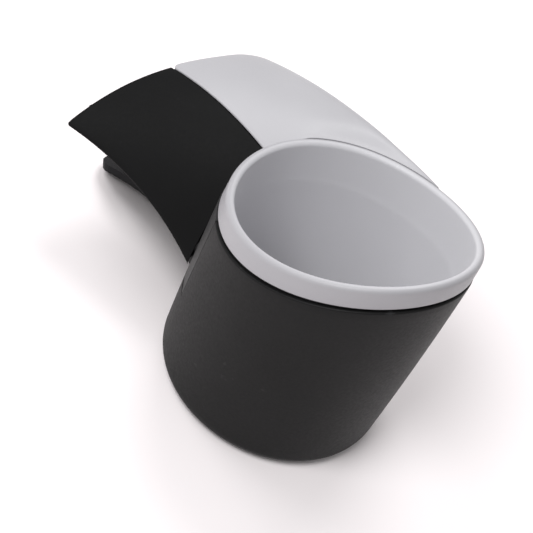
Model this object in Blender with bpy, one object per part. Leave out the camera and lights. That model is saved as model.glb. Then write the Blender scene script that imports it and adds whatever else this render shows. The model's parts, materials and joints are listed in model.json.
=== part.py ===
"""Desk clamp cup holder: a tall cup on a sprung desk clamp.

The cup stands on its base plane (z = 0) with its axis on +Z.
The clamp arm runs along -X, and the lower jaw swings down about the hinge pin, which lies along Y.
"""
import math

import bmesh
import bpy
from mathutils import Vector

MM = 0.001
R = 45.0 * MM                # outer radius of the rim

# Cup
RIM_Z = 2.041 * R            # mean height of the rim above the base
RIM_TILT = 0.292 * R         # the rim is high at the front (+X) and low at the arm
RIM_SADDLE = 0.064 * R
RIM_INNER_R = 0.926 * R
BAND_H = 0.209 * R
BAND_R = 1.003 * R
GASKET_GAP = 1.5 * MM
SHELL_WALL = 2.8 * MM
SHELL_BOTTOM_Z = 0.4 * MM
SHELL_FLOOR_Z = 3.3 * MM
SHELL_FILLET = 5.4 * MM
FOOT_R = 36.2 * MM
FOOT_RECESS_Z = 1.5 * MM
LINER_WALL = 1.2 * MM
FLARE_DEPTH = 17.5 * MM      # depth of the break between the flared mouth and the tapered well
FLARE_R = 40.5 * MM
WELL_FLOOR_R = 33.5 * MM
WELL_FLOOR_Z = 8.3 * MM
SEGMENTS = 64
GAP = 0.3 * MM               # clearance between parts that touch

# Arm
SKIN = 2.8 * MM
ARM_R0 = 45.9 * MM           # radius of the arm's end against the cup
ARM_START_X = -0.22 * R      # the far flank begins here, beside the cup
# Lines along the arm, as coefficients of rising powers of u = -x / R - 1, in rim radii.
# Heights are measured from the middle of the rim.
CREST_Y = (0.590, -0.429)
CREST_Z = (-0.199, -0.167, -0.123)
NEAR_Y = (-0.804, -0.313, -0.153)
NEAR_Z = (-1.178, 0.358, -0.165)
FAR_Y = (0.925, -0.185, 0.007, -0.074)
FAR_Y_MAX = 1.045 * R
FAR_Z = (-1.178, 0.160)
SEAM_Y = (-0.130, -0.205)
NEAR_POWER = 2.35            # the near side slopes away from the crest
FAR_POWER = 4.33             # the far side is flat on top and rolls over into a flank
ROLL_SHARE = 0.78            # share of the far width that the flat top takes
TIP_X = -2.233 * R
TIP_BOW = 0.076              # the tip bows out by this much per rim radius squared
TIP_MIDDLE_Y = 0.153 * R
TIP_CORNER_NEAR = 1.5 * MM
TIP_CORNER_FAR = 16.0 * MM
RIM_REST = 0.5 * MM          # the arm meets the rim this far below its top
RIM_FADE = 0.13 * R
PANEL_R0 = 45.45 * MM
PANEL_RECESS = 1.1 * MM
PANEL_BED = 0.5 * MM         # clearance under the panel
PANEL_PROUD = 0.6 * MM
PANEL_LAST = 0.86            # the panel stops part of the way down the far flank
PANEL_CORNER = 3.0 * MM
END_WALL = 3.0 * MM
END_WALL_DEG = (-39.0, 56.0)
POST_BURY = 0.6              # posts and end wall reach this far into the skin, as a share of it
END_WALL_Z0 = 36.0 * MM

# Saddle plate let into the back of the cup
PLATE_T = 1.2 * MM
PLATE_HALF_DEG = 62.0
TAB_HALF_DEG = 30.0
PLATE_Z0 = 31.0 * MM
TAB_Z0 = 9.0 * MM

# Under-tray and pads
TRAY_Z0 = 42.6 * MM
TRAY_T = 2.0 * MM
TRAY_X0 = -58.0 * MM
TRAY_X1 = -97.0 * MM
TRAY_NEAR_SHARE = 0.80       # of the distance to the arm's near edge
TRAY_FAR_GAP = 1.5 * MM
UPPER_PAD_T = 1.8 * MM

# Hinge and jaw
HINGE = Vector((-50.5 * MM, 0.0, 17.0 * MM))
UP = Vector((0.0, 0.0, 1.0))
PIN_R = 2.0 * MM
PIN_HALF = 19.0 * MM
RUN = 0.08 * MM              # radial running clearance on the pin
BUSH_R = 3.0 * MM
BUSH_FIT = 0.12 * MM
KNUCKLE_R = 5.0 * MM
KNUCKLE_Y = (6.2 * MM, 11.3 * MM)
LUG_R = 5.4 * MM
LUG_Y = (12.2 * MM, 16.6 * MM)
JAW_T = 3.0 * MM
JAW_CURVE = ((-56.0, 18.0), (-66.0, 31.0), (-98.0, 10.0), (-109.2, 3.6))
JAW_HALF = (20.0 * MM, 27.3 * MM)
JAW_CORNER = 9.0 * MM
JAW_PAD_T = 1.6 * MM
SPRING_R = 4.1 * MM
WIRE_R = 0.5 * MM
SPRING_TURNS = 3.37

# Screws
SCREW_R = 1.5 * MM
HOLE_R = 1.8 * MM
HEAD_R = 2.8 * MM
SADDLE_SCREW_DEG = 22.0
SADDLE_SCREW_Z = (38.0 * MM, 50.0 * MM)
TRAY_SCREWS = (
    (-64.0 * MM, -29.0 * MM),
    (-90.0 * MM, -36.0 * MM),
    (-64.0 * MM, 27.0 * MM),
    (-90.5 * MM, -1.0 * MM),
)
SHARP_DEG = 32.0

for old in list(bpy.data.objects):
    bpy.data.objects.remove(old, do_unlink=True)


def material(name, colour, roughness, metallic=0.0):
    mat = bpy.data.materials.new(name)
    mat.use_nodes = True
    shader = mat.node_tree.nodes["Principled BSDF"]
    shader.inputs["Base Color"].default_value = (*colour, 1.0)
    shader.inputs["Roughness"].default_value = roughness
    shader.inputs["Metallic"].default_value = metallic
    return mat


CHARCOAL = ((0.030, 0.030, 0.032), 0.55, 0.0)
GREY = ((0.52, 0.52, 0.55), 0.45, 0.0)
RUBBER = ((0.012, 0.012, 0.013), 0.85, 0.0)
STEEL = ((0.55, 0.55, 0.56), 0.30, 1.0)
SPRING_STEEL = ((0.32, 0.32, 0.34), 0.35, 1.0)
NYLON = ((0.75, 0.74, 0.70), 0.50, 0.0)


def add_object(name, bm, look):
    bmesh.ops.recalc_face_normals(bm, faces=bm.faces)
    for face in bm.faces:
        face.smooth = True
    for edge in bm.edges:
        if len(edge.link_faces) == 2 and edge.calc_face_angle() > math.radians(SHARP_DEG):
            edge.smooth = False
    mesh = bpy.data.meshes.new(name)
    bm.to_mesh(mesh)
    bm.free()
    obj = bpy.data.objects.new(name, mesh)
    bpy.context.scene.collection.objects.link(obj)
    if look is not None:
        mesh.materials.append(material(name, *look))
    return obj


def combine(target, tool, operation):
    """Boolean modifier whose tool object stays in the file as a wire cutter."""
    modifier = target.modifiers.new(tool.name, "BOOLEAN")
    modifier.operation = operation
    modifier.solver = "EXACT"
    modifier.object = tool
    tool.hide_render = True
    tool.display_type = "WIRE"


def bake(obj, tools):
    """Store the modifier result in the mesh and drop the tools."""
    graph = bpy.context.evaluated_depsgraph_get()
    mesh = bpy.data.meshes.new_from_object(obj.evaluated_get(graph))
    obj.modifiers.clear()
    obj.data = mesh
    mesh.name = obj.name
    for tool in tools:
        bpy.data.objects.remove(tool, do_unlink=True)
    bm = bmesh.new()
    bm.from_mesh(mesh)
    bmesh.ops.remove_doubles(bm, verts=bm.verts, dist=0.002 * MM)
    bmesh.ops.dissolve_degenerate(bm, edges=bm.edges, dist=0.002 * MM)
    bm.faces.ensure_lookup_table()
    for face in bm.faces:
        face.smooth = True
    for edge in bm.edges:
        sharp = len(edge.link_faces) == 2 and edge.calc_face_angle(0.0) > math.radians(SHARP_DEG)
        edge.smooth = not sharp
    bm.to_mesh(mesh)
    bm.free()


def apply_tools(obj, tools):
    for tool, operation in tools:
        combine(obj, tool, operation)
    bpy.context.view_layer.update()
    bake(obj, [tool for tool, _ in tools])


def lathe(name, profile, look, segments=SEGMENTS, closed=False):
    """Solid of revolution about Z.

    Each profile entry gives (radius, height) as a function of the azimuth. An open profile starts and
    ends on the axis. A closed one is a ring.
    """
    bm = bmesh.new()
    rings = []
    for entry in profile:
        if entry(0.0)[0] < 1e-9:
            rings.append([bm.verts.new((0.0, 0.0, entry(0.0)[1]))])
            continue
        ring = []
        for k in range(segments):
            angle = 2.0 * math.pi * k / segments
            radius, z = entry(angle)
            ring.append(bm.verts.new((radius * math.cos(angle), radius * math.sin(angle), z)))
        rings.append(ring)
    pairs = list(zip(rings, rings[1:]))
    if closed:
        pairs.append((rings[-1], rings[0]))
    for low, high in pairs:
        for k in range(segments):
            nxt = (k + 1) % segments
            corners = [low[k % len(low)], low[nxt % len(low)], high[nxt % len(high)], high[k % len(high)]]
            face = [v for i, v in enumerate(corners) if v not in corners[:i]]
            bm.faces.new(face)
    return add_object(name, bm, look)


def grid_solid(name, outer, inner, us, vs, look, keep=None):
    """Closed sheet between two surfaces over a grid of (u, v), limited to the cells that keep allows."""
    bm = bmesh.new()
    verts = {}

    def vert(side, i, j):
        key = (side, i, j)
        if key not in verts:
            surface = outer if side else inner
            verts[key] = bm.verts.new(surface(us[i], vs[j]))
        return verts[key]

    cells = set()
    for i in range(len(us) - 1):
        for j in range(len(vs) - 1):
            middle = (0.5 * (us[i] + us[i + 1]), 0.5 * (vs[j] + vs[j + 1]))
            if keep is None or keep(*middle):
                cells.add((i, j))
    for i, j in sorted(cells):
        corners = [(i, j), (i + 1, j), (i + 1, j + 1), (i, j + 1)]
        bm.faces.new([vert(1, *c) for c in corners])
        bm.faces.new([vert(0, *c) for c in reversed(corners)])
        neighbours = [(i, j - 1), (i + 1, j), (i, j + 1), (i - 1, j)]
        for k, neighbour in enumerate(neighbours):
            if neighbour not in cells:
                a, b = corners[k], corners[(k + 1) % 4]
                bm.faces.new([vert(1, *b), vert(1, *a), vert(0, *a), vert(0, *b)])
    return add_object(name, bm, look)


def prism_y(name, outline, y0, y1, look=None):
    """Outline in XZ, in metres, stretched along Y."""
    bm = bmesh.new()
    near = [bm.verts.new((x, y0, z)) for x, z in outline]
    far = [bm.verts.new((x, y1, z)) for x, z in outline]
    bm.faces.new(near)
    bm.faces.new(list(reversed(far)))
    count = len(outline)
    for k in range(count):
        nxt = (k + 1) % count
        bm.faces.new([near[nxt], near[k], far[k], far[nxt]])
    return add_object(name, bm, look)


def tube_path(name, points, radius, sides, look):
    """Round wire along a path of points."""
    bm = bmesh.new()
    rings = []
    normal = None
    for k, point in enumerate(points):
        ahead = points[min(k + 1, len(points) - 1)]
        behind = points[max(k - 1, 0)]
        tangent = (ahead - behind).normalized()
        if normal is None:
            normal = tangent.orthogonal().normalized()
        normal = (normal - tangent * normal.dot(tangent)).normalized()
        side = tangent.cross(normal)
        ring = []
        for j in range(sides):
            angle = 2.0 * math.pi * j / sides
            ring.append(bm.verts.new(point + radius * (math.cos(angle) * normal + math.sin(angle) * side)))
        rings.append(ring)
    for low, high in zip(rings, rings[1:]):
        for j in range(sides):
            nxt = (j + 1) % sides
            bm.faces.new([low[j], low[nxt], high[nxt], high[j]])
    bm.faces.new(list(reversed(rings[0])))
    bm.faces.new(rings[-1])
    return add_object(name, bm, look)


def spread(low, high, count):
    return [low + (high - low) * k / count for k in range(count + 1)]


def fixed(radius, z):
    return lambda angle: (radius, z)


def turned(obj, origin, direction):
    """Place a lathed object with its +Z along direction."""
    obj.matrix_world = UP.rotation_difference(direction).to_matrix().to_4x4()
    obj.location = origin
    return obj


def settle(obj):
    """Put the placement into the mesh so that the object keeps the part's axes."""
    bpy.context.view_layer.update()
    obj.data.transform(obj.matrix_world)
    obj.matrix_world.identity()
    return obj


# ---------------------------------------------------------------- cup

def rim_z(angle):
    return RIM_Z + RIM_TILT * math.cos(angle) + RIM_SADDLE * math.cos(2.0 * angle)


def shell_top_z(angle):
    return rim_z(angle) - BAND_H - GASKET_GAP


def shell_r(z):
    """Outer radius of the slightly barrelled cup."""
    s = (RIM_Z - RIM_SADDLE - BAND_H - z) / R
    return R * (1.011 - 0.007 * s - 0.011 * s * s)


def below_rim(radius, depth):
    return lambda angle: (radius, rim_z(angle) - depth)


def shell_wall(share, inset, z0):
    def entry(angle):
        z = z0 + (shell_top_z(angle) - z0) * share
        return shell_r(z) - inset, z
    return entry


def build_shell():
    foot = shell_r(SHELL_BOTTOM_Z + SHELL_FILLET)
    recess_r = FOOT_R + GAP
    profile = [fixed(0.0, FOOT_RECESS_Z), fixed(recess_r, FOOT_RECESS_Z), fixed(recess_r, SHELL_BOTTOM_Z)]
    for k in range(5):
        angle = math.radians(22.5 * k)
        radius = foot - SHELL_FILLET + SHELL_FILLET * math.sin(angle)
        profile.append(fixed(radius, SHELL_BOTTOM_Z + SHELL_FILLET * (1.0 - math.cos(angle))))
    start = SHELL_BOTTOM_Z + SHELL_FILLET
    for share in (0.15, 0.3, 0.45, 0.6, 0.75, 0.9):
        profile.append(shell_wall(share, 0.0, start))
    profile.append(lambda angle: (shell_r(shell_top_z(angle)), shell_top_z(angle) - 0.5 * MM))
    profile.append(shell_wall(1.0, 0.5 * MM, start))
    for share in (1.0, 0.66, 0.33, 0.0):
        profile.append(shell_wall(share, SHELL_WALL, SHELL_FLOOR_Z + 2.0 * MM))
    profile.append(fixed(shell_r(SHELL_FLOOR_Z) - SHELL_WALL - 2.0 * MM, SHELL_FLOOR_Z))
    profile.append(fixed(0.0, SHELL_FLOOR_Z))
    return lathe("cup_shell", profile, CHARCOAL)


def build_liner():
    outer_floor_z = WELL_FLOOR_Z - 1.8 * MM
    profile = [fixed(0.0, outer_floor_z), fixed(WELL_FLOOR_R - 1.5 * MM, outer_floor_z)]
    profile.append(fixed(WELL_FLOOR_R + LINER_WALL, outer_floor_z + 3.5 * MM))
    profile.append(below_rim(FLARE_R + LINER_WALL, FLARE_DEPTH + 0.4 * MM))
    profile.append(below_rim(RIM_INNER_R - 0.6 * MM + LINER_WALL, BAND_H))
    profile.append(below_rim(BAND_R - 0.4 * MM, BAND_H))
    profile.append(below_rim(BAND_R, BAND_H - 0.4 * MM))
    profile.append(below_rim(R, 3.0 * MM))
    bead = 0.5 * (R - RIM_INNER_R)
    for k in range(1, 8):
        angle = math.radians(22.5 * k)
        profile.append(below_rim(R - bead + bead * math.cos(angle), 1.9 * MM * (1.0 - math.sin(angle))))
    profile.append(below_rim(RIM_INNER_R, 2.5 * MM))
    profile.append(below_rim(FLARE_R + 0.45 * MM, FLARE_DEPTH * 0.75))
    profile.append(below_rim(FLARE_R, FLARE_DEPTH))
    profile.append(fixed(WELL_FLOOR_R, WELL_FLOOR_Z + 3.0 * MM))
    profile.append(fixed(WELL_FLOOR_R - 0.9 * MM, WELL_FLOOR_Z + 0.9 * MM))
    profile.append(fixed(WELL_FLOOR_R - 3.0 * MM, WELL_FLOOR_Z))
    profile.append(fixed(0.0, WELL_FLOOR_Z))
    return lathe("cup_liner", profile, GREY)


def build_gasket():
    profile = [below_rim(radius, BAND_H + depth)
               for radius, depth in ((42.9 * MM, GAP), (44.4 * MM, GAP),
                                     (44.4 * MM, GASKET_GAP - GAP), (42.9 * MM, GASKET_GAP - GAP))]
    return lathe("gap_gasket", profile, RUBBER, closed=True)


def build_mat():
    base = WELL_FLOOR_Z + GAP
    top = base + 1.2 * MM
    profile = [fixed(0.0, base), fixed(29.0 * MM, base), fixed(29.0 * MM, top)]
    for ring in (24.0, 17.0, 10.0):
        for dr, dz in ((1.4, 0.0), (0.8, 0.6), (-0.8, 0.6), (-1.4, 0.0)):
            profile.append(fixed((ring + dr) * MM, top + dz * MM))
    profile.append(fixed(0.0, top))
    return lathe("liner_floor_mat", profile, RUBBER, segments=24)


def build_foot():
    profile = [fixed(0.0, 0.0), fixed(FOOT_R - 0.4 * MM, 0.0), fixed(FOOT_R, 0.4 * MM),
               fixed(FOOT_R, FOOT_RECESS_Z - GAP), fixed(0.0, FOOT_RECESS_Z - GAP)]
    return lathe("base_foot_pad", profile, RUBBER, segments=40)


# ---------------------------------------------------------------- arm surface

def along(line, x):
    u = -x / R - 1.0
    return R * sum(factor * u ** power for power, factor in enumerate(line))


def far_y(x):
    """Far edge of the arm, which runs up beside the cup without passing it."""
    free = along(FAR_Y, x)
    soft = 0.02 * R
    return 0.5 * (free + FAR_Y_MAX - math.sqrt((free - FAR_Y_MAX) ** 2 + soft ** 2))


def meet_rim(x, y, z):
    """Bring the surface down to the rim where it would stand above it."""
    lift = z - (rim_z(math.atan2(y, x)) - RIM_REST)
    soft = 0.3 * MM
    lift = 0.5 * (lift + math.sqrt(lift * lift + soft * soft))
    reach = (math.hypot(x, y) - R) / RIM_FADE
    return z - lift * math.exp(-reach * reach)


def near_drop(x, share):
    crest = along(CREST_Z, x)
    return RIM_Z + crest - (crest - along(NEAR_Z, x)) * share ** NEAR_POWER


def far_drop(x, level):
    """Height on the far side; level runs from 1 on the flat top to 0 at the foot of the flank."""
    foot = along(FAR_Z, x)
    return RIM_Z + foot + (along(CREST_Z, x) - foot) * level


def arm_z(x, y):
    crest = along(CREST_Y, x)
    if y <= crest:
        share = min(1.0, (crest - y) / (crest - along(NEAR_Y, x)))
        return meet_rim(x, y, near_drop(x, share))
    share = min(1.0, (y - crest) / (far_y(x) - crest))
    return meet_rim(x, y, far_drop(x, (1.0 - share ** FAR_POWER) ** (1.0 / FAR_POWER)))


def arm_place(x, s):
    """Point on the arm: s = -1 at the near edge, 0 on the crest, 0.5 where the far side rolls, 1 below."""
    crest = along(CREST_Y, x)
    if s <= 0.0:
        y = crest + (crest - along(NEAR_Y, x)) * s
        return Vector((x, y, meet_rim(x, y, near_drop(x, -s))))
    width = far_y(x) - crest
    if s <= 0.5:
        y = crest + width * ROLL_SHARE * 2.0 * s
        return Vector((x, y, arm_z(x, y)))
    start = math.asin(ROLL_SHARE ** (0.5 * FAR_POWER))
    left = 2.0 - 2.0 * min(s, 1.0)
    angle = start + (0.5 * math.pi - start) * (1.0 - left * left)
    y = crest + width * math.sin(angle) ** (2.0 / FAR_POWER)
    level = max(0.0, math.cos(angle)) ** (2.0 / FAR_POWER)
    return Vector((x, y, meet_rim(x, y, far_drop(x, level))))


def arm_slopes(x, s):
    step_x = 0.2 * MM
    step_s = 0.004
    low, high = max(-1.0, s - step_s), min(1.0, s + step_s)
    slope_x = (arm_place(x + step_x, s) - arm_place(x - step_x, s)) / (2.0 * step_x)
    slope_s = (arm_place(x, high) - arm_place(x, low)) / (high - low)
    return slope_x, slope_s


def arm_normal(x, s):
    slope_x, slope_s = arm_slopes(x, s)
    return slope_x.cross(slope_s).normalized()


def skin_drop(x, y):
    """Vertical thickness of the skin on the near side and the flat top."""
    step = 0.2 * MM
    slope_x = (arm_z(x + step, y) - arm_z(x - step, y)) / (2.0 * step)
    slope_y = (arm_z(x, y + step) - arm_z(x, y - step)) / (2.0 * step)
    return SKIN * math.sqrt(1.0 + slope_x ** 2 + slope_y ** 2)


def corner_cut(distance, radius):
    """How far a rounded corner pulls the end back at this distance from the side."""
    if distance >= radius:
        return 0.0
    return radius - math.sqrt(max(0.0, radius * radius - (radius - distance) ** 2))


def arm_tip_x(x, y):
    """Where the tip lies on the line through (x, y)."""
    bow = TIP_BOW * (y - TIP_MIDDLE_Y) ** 2 / R
    near = corner_cut(y - along(NEAR_Y, x), TIP_CORNER_NEAR)
    far = corner_cut(far_y(x) - y, TIP_CORNER_FAR)
    return TIP_X + bow + near + far


def shifted(line, distance):
    """The line across the arm moved sideways along the surface."""
    def moved(x):
        _, slope_s = arm_slopes(x, line(x))
        return line(x) + distance / slope_s.length
    return moved


def between(low, high, share):
    return lambda x: low(x) + (high(x) - low(x)) * share


def hood_near(x):
    return -1.0


def hood_far(x):
    return 1.0


def panel_near(x):
    crest = along(CREST_Y, x)
    return (along(SEAM_Y, x) - crest) / (crest - along(NEAR_Y, x))


def panel_far(x):
    return PANEL_LAST


def arm_spot(line, x, offset):
    s = line(x)
    return arm_place(x, s) + arm_normal(x, s) * offset


def line_ends(line, offset, start_r, trim=None):
    """First and last x of a line: on the circle around the cup, and at the tip."""
    low, high = -1.4 * R, ARM_START_X
    spot = arm_spot(line, high, offset)
    if math.hypot(spot.x, spot.y) < start_r:
        while high - low > 0.001 * MM:
            middle = 0.5 * (low + high)
            spot = arm_spot(line, middle, offset)
            if math.hypot(spot.x, spot.y) < start_r:
                high = middle
            else:
                low = middle
    last = -2.2 * R
    for _ in range(12):
        place = arm_place(last, line(last))
        last = arm_tip_x(place.x, place.y)
        if trim is not None:
            last += trim(last)
    return high, last


def arm_surface(lines, offsets, start_r, trims=None):
    """Surface at a distance from the arm, over (number of the line, share of its length)."""
    ends = []
    for k, line in enumerate(lines):
        ends.append(line_ends(line, offsets[k], start_r, trims[k] if trims else None))

    def surface(j, share):
        first, last = ends[int(j)]
        return arm_spot(lines[int(j)], first + (last - first) * share, offsets[int(j)])
    return surface


def hood_lines():
    """(line across the arm, height offset of the outer skin), stepping down under the panel."""
    lip = 0.4 * MM
    near = shifted(panel_near, -lip)
    far = shifted(panel_far, lip)
    near_low = shifted(panel_near, -GAP)
    far_low = shifted(panel_far, GAP)
    dark_shares = (0, 0.05, 0.18, 0.35, 0.52, 0.69, 0.85, 1.0)
    lines = [(between(hood_near, near, share), 0.0) for share in dark_shares]
    lines += [(between(near_low, far_low, share / 15.0), -PANEL_RECESS) for share in range(16)]
    lines += [(between(far, hood_far, share), 0.0) for share in (0, 0.5, 1.0)]
    return lines


def build_hood():
    lines = [line for line, _ in hood_lines()]
    drops = [drop for _, drop in hood_lines()]
    outer = arm_surface(lines, drops, ARM_R0)
    inner = arm_surface(lines, [-SKIN] * len(lines), ARM_R0)
    stations = spread(0.0, 0.9, 10) + [0.95, 0.98, 1.0]
    hood = grid_solid("arm_hood", outer, inner, list(range(len(lines))), stations, CHARCOAL)
    tools = [(build_end_wall(), "UNION")]
    for x, y in TRAY_SCREWS:
        tools.append((tray_post(x, y), "UNION"))
    for direction, z in saddle_screw_axes():
        boss = lathe("boss", [fixed(0.0, 0.0), fixed(3.4 * MM, 0.0), fixed(3.4 * MM, 6.5 * MM),
                              fixed(0.0, 6.5 * MM)], None, segments=12)
        tools.append((turned(boss, direction * 47.5 * MM + Vector((0.0, 0.0, z)), direction), "UNION"))
    for direction, z in saddle_screw_axes():
        hole_start = direction * 44.0 * MM + Vector((0.0, 0.0, z))
        tools.append((hole_tool(hole_start, direction, 8.0 * MM), "DIFFERENCE"))
    for x, y in TRAY_SCREWS:
        tools.append((hole_tool(Vector((x, y, TRAY_Z0)), UP, 7.0 * MM), "DIFFERENCE"))
    apply_tools(hood, tools)
    return hood


def build_end_wall():
    def surface(radius):
        def point(angle, share):
            x = -radius * math.cos(angle)
            y = radius * math.sin(angle)
            top = arm_z(x, y) - POST_BURY * skin_drop(x, y)
            return Vector((x, y, END_WALL_Z0 + (top - END_WALL_Z0) * share))
        return point
    low, high = [math.radians(angle) for angle in END_WALL_DEG]
    return grid_solid("end_wall", surface(ARM_R0 + END_WALL), surface(ARM_R0 + 0.05 * MM),
                      spread(low, high, 14), [0.0, 0.5, 1.0], None)


def tray_post(x, y):
    """Boss that hangs from the skin; its top follows the arch inside the skin."""
    radius = 3.4 * MM

    def top(angle):
        px = x + radius * math.cos(angle)
        py = y + radius * math.sin(angle)
        return radius, arm_z(px, py) - POST_BURY * skin_drop(px, py)

    bottom = TRAY_Z0 + TRAY_T + GAP
    middle = arm_z(x, y) - POST_BURY * skin_drop(x, y)
    profile = [fixed(0.0, bottom), fixed(radius, bottom), top, fixed(0.0, middle)]
    post = lathe("post", profile, None, segments=12)
    post.location = (x, y, 0.0)
    return post


def hole_tool(start, direction, length, radius=HOLE_R):
    tool = lathe("hole", [fixed(0.0, 0.0), fixed(radius, 0.0), fixed(radius, length), fixed(0.0, length)],
                 None, segments=12)
    return turned(tool, start, direction)


def saddle_screw_axes():
    axes = []
    for side in (-1, 1):
        angle = math.radians(180.0 + side * SADDLE_SCREW_DEG)
        for z in SADDLE_SCREW_Z:
            axes.append((Vector((math.cos(angle), math.sin(angle), 0.0)), z))
    return axes


def panel_trim(line):
    """Extra set-back of the panel's tip edge, which rounds its two corners."""
    def trim(x):
        s = line(x)
        _, slope_s = arm_slopes(x, s)
        reach = min(s - panel_near(x), panel_far(x) - s) * slope_s.length
        return 0.3 * MM + corner_cut(max(0.0, reach), PANEL_CORNER)
    return trim


def build_panel():
    across = [0.0, 0.01, 0.03, 0.06] + spread(0.12, 0.88, 10) + [0.94, 0.97, 0.99, 1.0]
    lines = [between(panel_near, panel_far, share) for share in across]
    trims = [panel_trim(line) for line in lines]
    outer = arm_surface(lines, [PANEL_PROUD] * len(lines), PANEL_R0, trims)
    inner = arm_surface(lines, [PANEL_BED - PANEL_RECESS] * len(lines), PANEL_R0, trims)
    stations = spread(0.0, 0.95, 10) + [0.975, 0.99, 1.0]
    return grid_solid("arm_top_panel", outer, inner, list(range(len(lines))), stations, GREY)


# ---------------------------------------------------------------- saddle plate

def plate_cells(margin):
    """Angles, heights and outline of the saddle plate, grown by margin."""
    grow = math.degrees(margin / R)
    wide = PLATE_HALF_DEG + grow
    tab = TAB_HALF_DEG + grow
    left = [-wide] + spread(-50.0, -36.0, 2) + [-tab]
    angles = left + spread(-24.0, 24.0, 6) + [-angle for angle in reversed(left)]
    rows = [-1.0, -0.5, 0.0, 0.33, 0.66, 1.0]

    def keep(angle, row):
        return row > 0.0 or abs(angle) < tab

    return angles, rows, keep


def plate_surface(inset, margin, top_margin):
    def point(degrees, row):
        angle = math.radians(180.0 + degrees)
        if row >= 0.0:
            low = PLATE_Z0 - margin
            z = low + (shell_top_z(angle) + top_margin - low) * row
        else:
            z = PLATE_Z0 - margin + (PLATE_Z0 - TAB_Z0) * row
        radius = shell_r(z) - inset
        return Vector((radius * math.cos(angle), radius * math.sin(angle), z))
    return point


def build_plate():
    angles, rows, keep = plate_cells(0.0)
    plate = grid_solid("saddle_plate", plate_surface(0.0, 0.0, 0.0), plate_surface(PLATE_T, 0.0, 0.0),
                       angles, rows, CHARCOAL, keep)
    tools = []
    for side in (-1, 1):
        tools.append((build_lug(side), "UNION"))
    hole_start = HINGE - Vector((0.0, 30.0 * MM, 0.0))
    pin_hole = hole_tool(hole_start, Vector((0.0, 1.0, 0.0)), 60.0 * MM, PIN_R + RUN)
    tools.append((pin_hole, "DIFFERENCE"))
    for direction, z in saddle_screw_axes():
        hole_start = direction * 38.0 * MM + Vector((0.0, 0.0, z))
        tools.append((hole_tool(hole_start, direction, 12.0 * MM), "DIFFERENCE"))
    apply_tools(plate, tools)
    return plate


def build_lug(side):
    outline = [(-40.6 * MM, HINGE.z + LUG_R + 4.0 * MM), (-40.6 * MM, HINGE.z - LUG_R)]
    for k in range(9):
        angle = math.radians(-90.0 - 22.5 * k)
        outline.append((HINGE.x + LUG_R * math.cos(angle), HINGE.z + LUG_R * math.sin(angle)))
    y0, y1 = (side * LUG_Y[0], side * LUG_Y[1])
    lug = prism_y("lug", outline, min(y0, y1), max(y0, y1))
    bm = bmesh.new()
    bm.from_mesh(lug.data)
    for vert in bm.verts:
        if vert.co.x > -41.0 * MM:
            radius = shell_r(vert.co.z) - PLATE_T + 0.1 * MM
            vert.co.x = -math.sqrt(radius ** 2 - vert.co.y ** 2)
    bm.to_mesh(lug.data)
    bm.free()
    return lug


# ---------------------------------------------------------------- under-tray and pads

def tray_y(x, share):
    near = TRAY_NEAR_SHARE * along(NEAR_Y, x)
    far = far_y(x) - SKIN - TRAY_FAR_GAP
    return near + (far - near) * share


def build_tray():
    def level(z):
        def point(share, s):
            x = TRAY_X0 + (TRAY_X1 - TRAY_X0) * s
            return Vector((x, tray_y(x, share), z))
        return point

    def nose(x):
        def point(share, s):
            y = tray_y(TRAY_X1, share)
            top = arm_z(TRAY_X1, y) - 1.25 * skin_drop(TRAY_X1, y)
            low = TRAY_Z0 + 0.5 * TRAY_T
            return Vector((x, y, low + (top - low) * s))
        return point

    tray = grid_solid("arm_under_tray", level(TRAY_Z0 + TRAY_T), level(TRAY_Z0), spread(0.0, 1.0, 8),
                      spread(0.0, 1.0, 4), CHARCOAL)
    wall = grid_solid("nose", nose(TRAY_X1 + 0.05 * MM), nose(TRAY_X1 + 2.0 * MM), spread(0.01, 0.93, 12),
                      [0.0, 1.0], None)
    tools = [(wall, "UNION")]
    for x, y in TRAY_SCREWS:
        tools.append((hole_tool(Vector((x, y, TRAY_Z0 - 2.0 * MM)), UP, 10.0 * MM), "DIFFERENCE"))
    apply_tools(tray, tools)
    return tray


def build_upper_pad(name, y0, y1):
    low = TRAY_Z0 - GAP - UPPER_PAD_T
    return box(name, (-94.0 * MM, y0, low), (-61.0 * MM, y1, low + UPPER_PAD_T), RUBBER)


def box(name, low, high, look):
    bm = bmesh.new()
    bmesh.ops.create_cube(bm, size=1.0)
    for vert in bm.verts:
        for axis in range(3):
            vert.co[axis] = low[axis] if vert.co[axis] < 0.0 else high[axis]
    upright = [e for e in bm.edges if abs(e.verts[0].co.z - e.verts[1].co.z) > 0.5 * MM]
    bmesh.ops.bevel(bm, geom=upright, offset=3.0 * MM, segments=3, affect="EDGES", profile=0.5)
    return add_object(name, bm, look)


# ---------------------------------------------------------------- jaw

def jaw_curve(s):
    """Centre line of the jaw's upper face and its upward normal."""
    p = [Vector((x * MM, 0.0, z * MM)) for x, z in JAW_CURVE]
    q = 1.0 - s
    point = p[0] * q ** 3 + p[1] * 3 * q * q * s + p[2] * 3 * q * s * s + p[3] * s ** 3
    slope = (p[1] - p[0]) * q * q + (p[2] - p[1]) * 2 * q * s + (p[3] - p[2]) * s * s
    normal = Vector((slope.z, 0.0, -slope.x)).normalized()
    return point, normal


def jaw_half_width(s):
    point, _ = jaw_curve(s)
    reach = point.x - JAW_CURVE[3][0] * MM
    flat = JAW_HALF[0] + (JAW_HALF[1] - JAW_HALF[0]) * s
    return flat - corner_cut(reach, JAW_CORNER)


def jaw_surface(offset, inset=0.0):
    def point(share, s):
        base, normal = jaw_curve(s)
        base = base + normal * offset
        return Vector((base.x, share * (jaw_half_width(s) - inset), base.z))
    return point


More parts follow.
